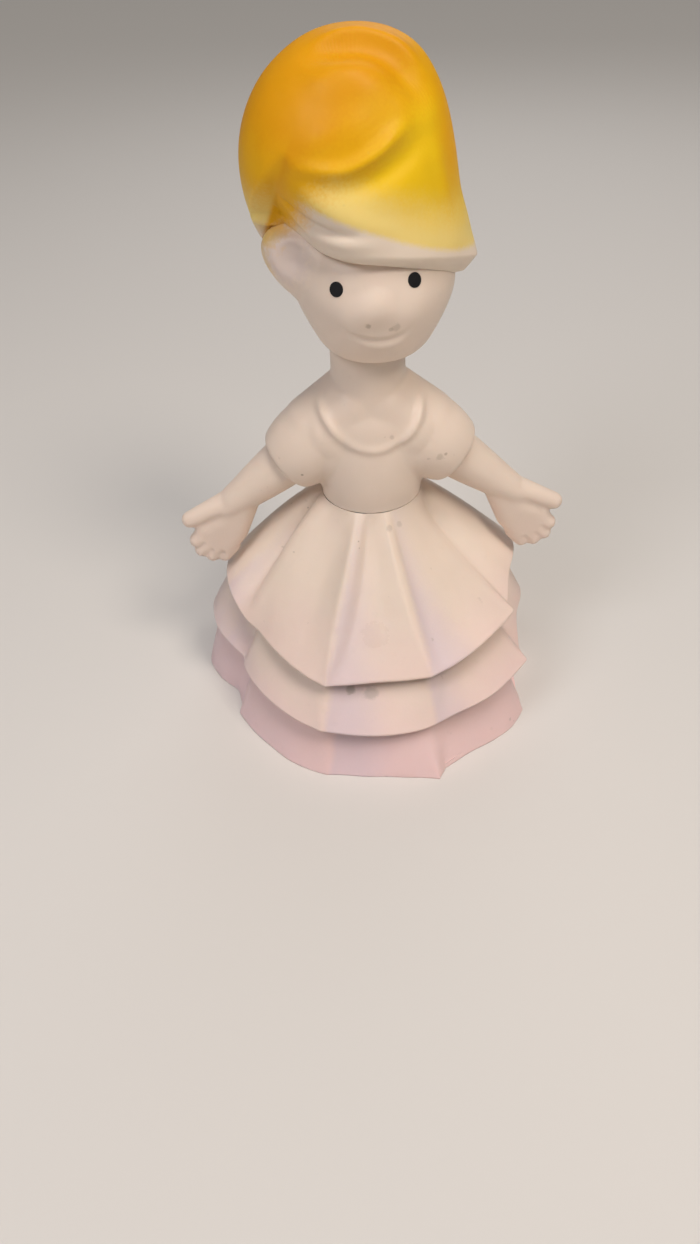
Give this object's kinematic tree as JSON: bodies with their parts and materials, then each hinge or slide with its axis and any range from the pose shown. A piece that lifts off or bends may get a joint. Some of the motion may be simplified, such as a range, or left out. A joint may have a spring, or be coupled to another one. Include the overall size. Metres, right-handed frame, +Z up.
{
  "type": "vinyl art toy",
  "caption": "Free-standing soft vinyl doll figurine in a tiered pleated skirt, with tall swept hair; its head, arms and waist turn on snap pegs.",
  "frame": {"origin": "on the figure's vertical axis, at the underside of the base, on the surface it stands on", "axes": "+Z up; the doll faces -Y; +X is to the right of someone facing the doll"},
  "size_m": [0.1022, 0.0945, 0.1706],
  "materials": {
    "vinyl_cream": "satin soft vinyl, warm white",
    "vinyl_pink": "satin soft vinyl, sprayed pale pink towards the hem",
    "vinyl_rose": "satin soft vinyl, sprayed pink",
    "hair_vinyl": "satin soft vinyl, sprayed from orange at the crown to white at the fringe",
    "eye_black": "gloss black",
    "peg_plastic": "moulded hard plastic, natural white"
  },
  "bodies": {
    "skirt": {"skirt_upper_tier": "vinyl_cream", "skirt_middle_tier": "vinyl_pink", "skirt_lower_tier": "vinyl_rose", "base_plate": "vinyl_rose", "vent_plug": "peg_plastic", "waist_socket": "peg_plastic"},
    "torso": {"torso_shell": "vinyl_cream", "waist_peg": "peg_plastic", "neck_peg": "peg_plastic"},
    "head": {"head_shell": "vinyl_cream", "hair_shell": "hair_vinyl", "eye_left": "eye_black", "eye_right": "eye_black"},
    "left_arm": {"arm_left": "vinyl_cream", "arm_peg_left": "peg_plastic"},
    "right_arm": {"arm_right": "vinyl_cream", "arm_peg_right": "peg_plastic"}
  },
  "joints": [
    {"name": "waist_turn", "type": "hinge", "parent": "skirt", "child": "torso", "pos_m": [0, 0, 0.0667], "axis": [0, 0, 1], "range_deg": [-60, 60]},
    {"name": "neck_turn", "type": "hinge", "parent": "torso", "child": "head", "pos_m": [0, 0, 0.1077], "axis": [0, 0, 1], "continuous": true},
    {"name": "left_arm_turn", "type": "hinge", "parent": "torso", "child": "left_arm", "pos_m": [-0.0216, 0, 0.07565], "axis": [-0.788, 0, -0.6157], "continuous": true},
    {"name": "right_arm_turn", "type": "hinge", "parent": "torso", "child": "right_arm", "pos_m": [0.0216, 0, 0.07565], "axis": [0.788, 0, -0.6157], "continuous": true}
  ]
}
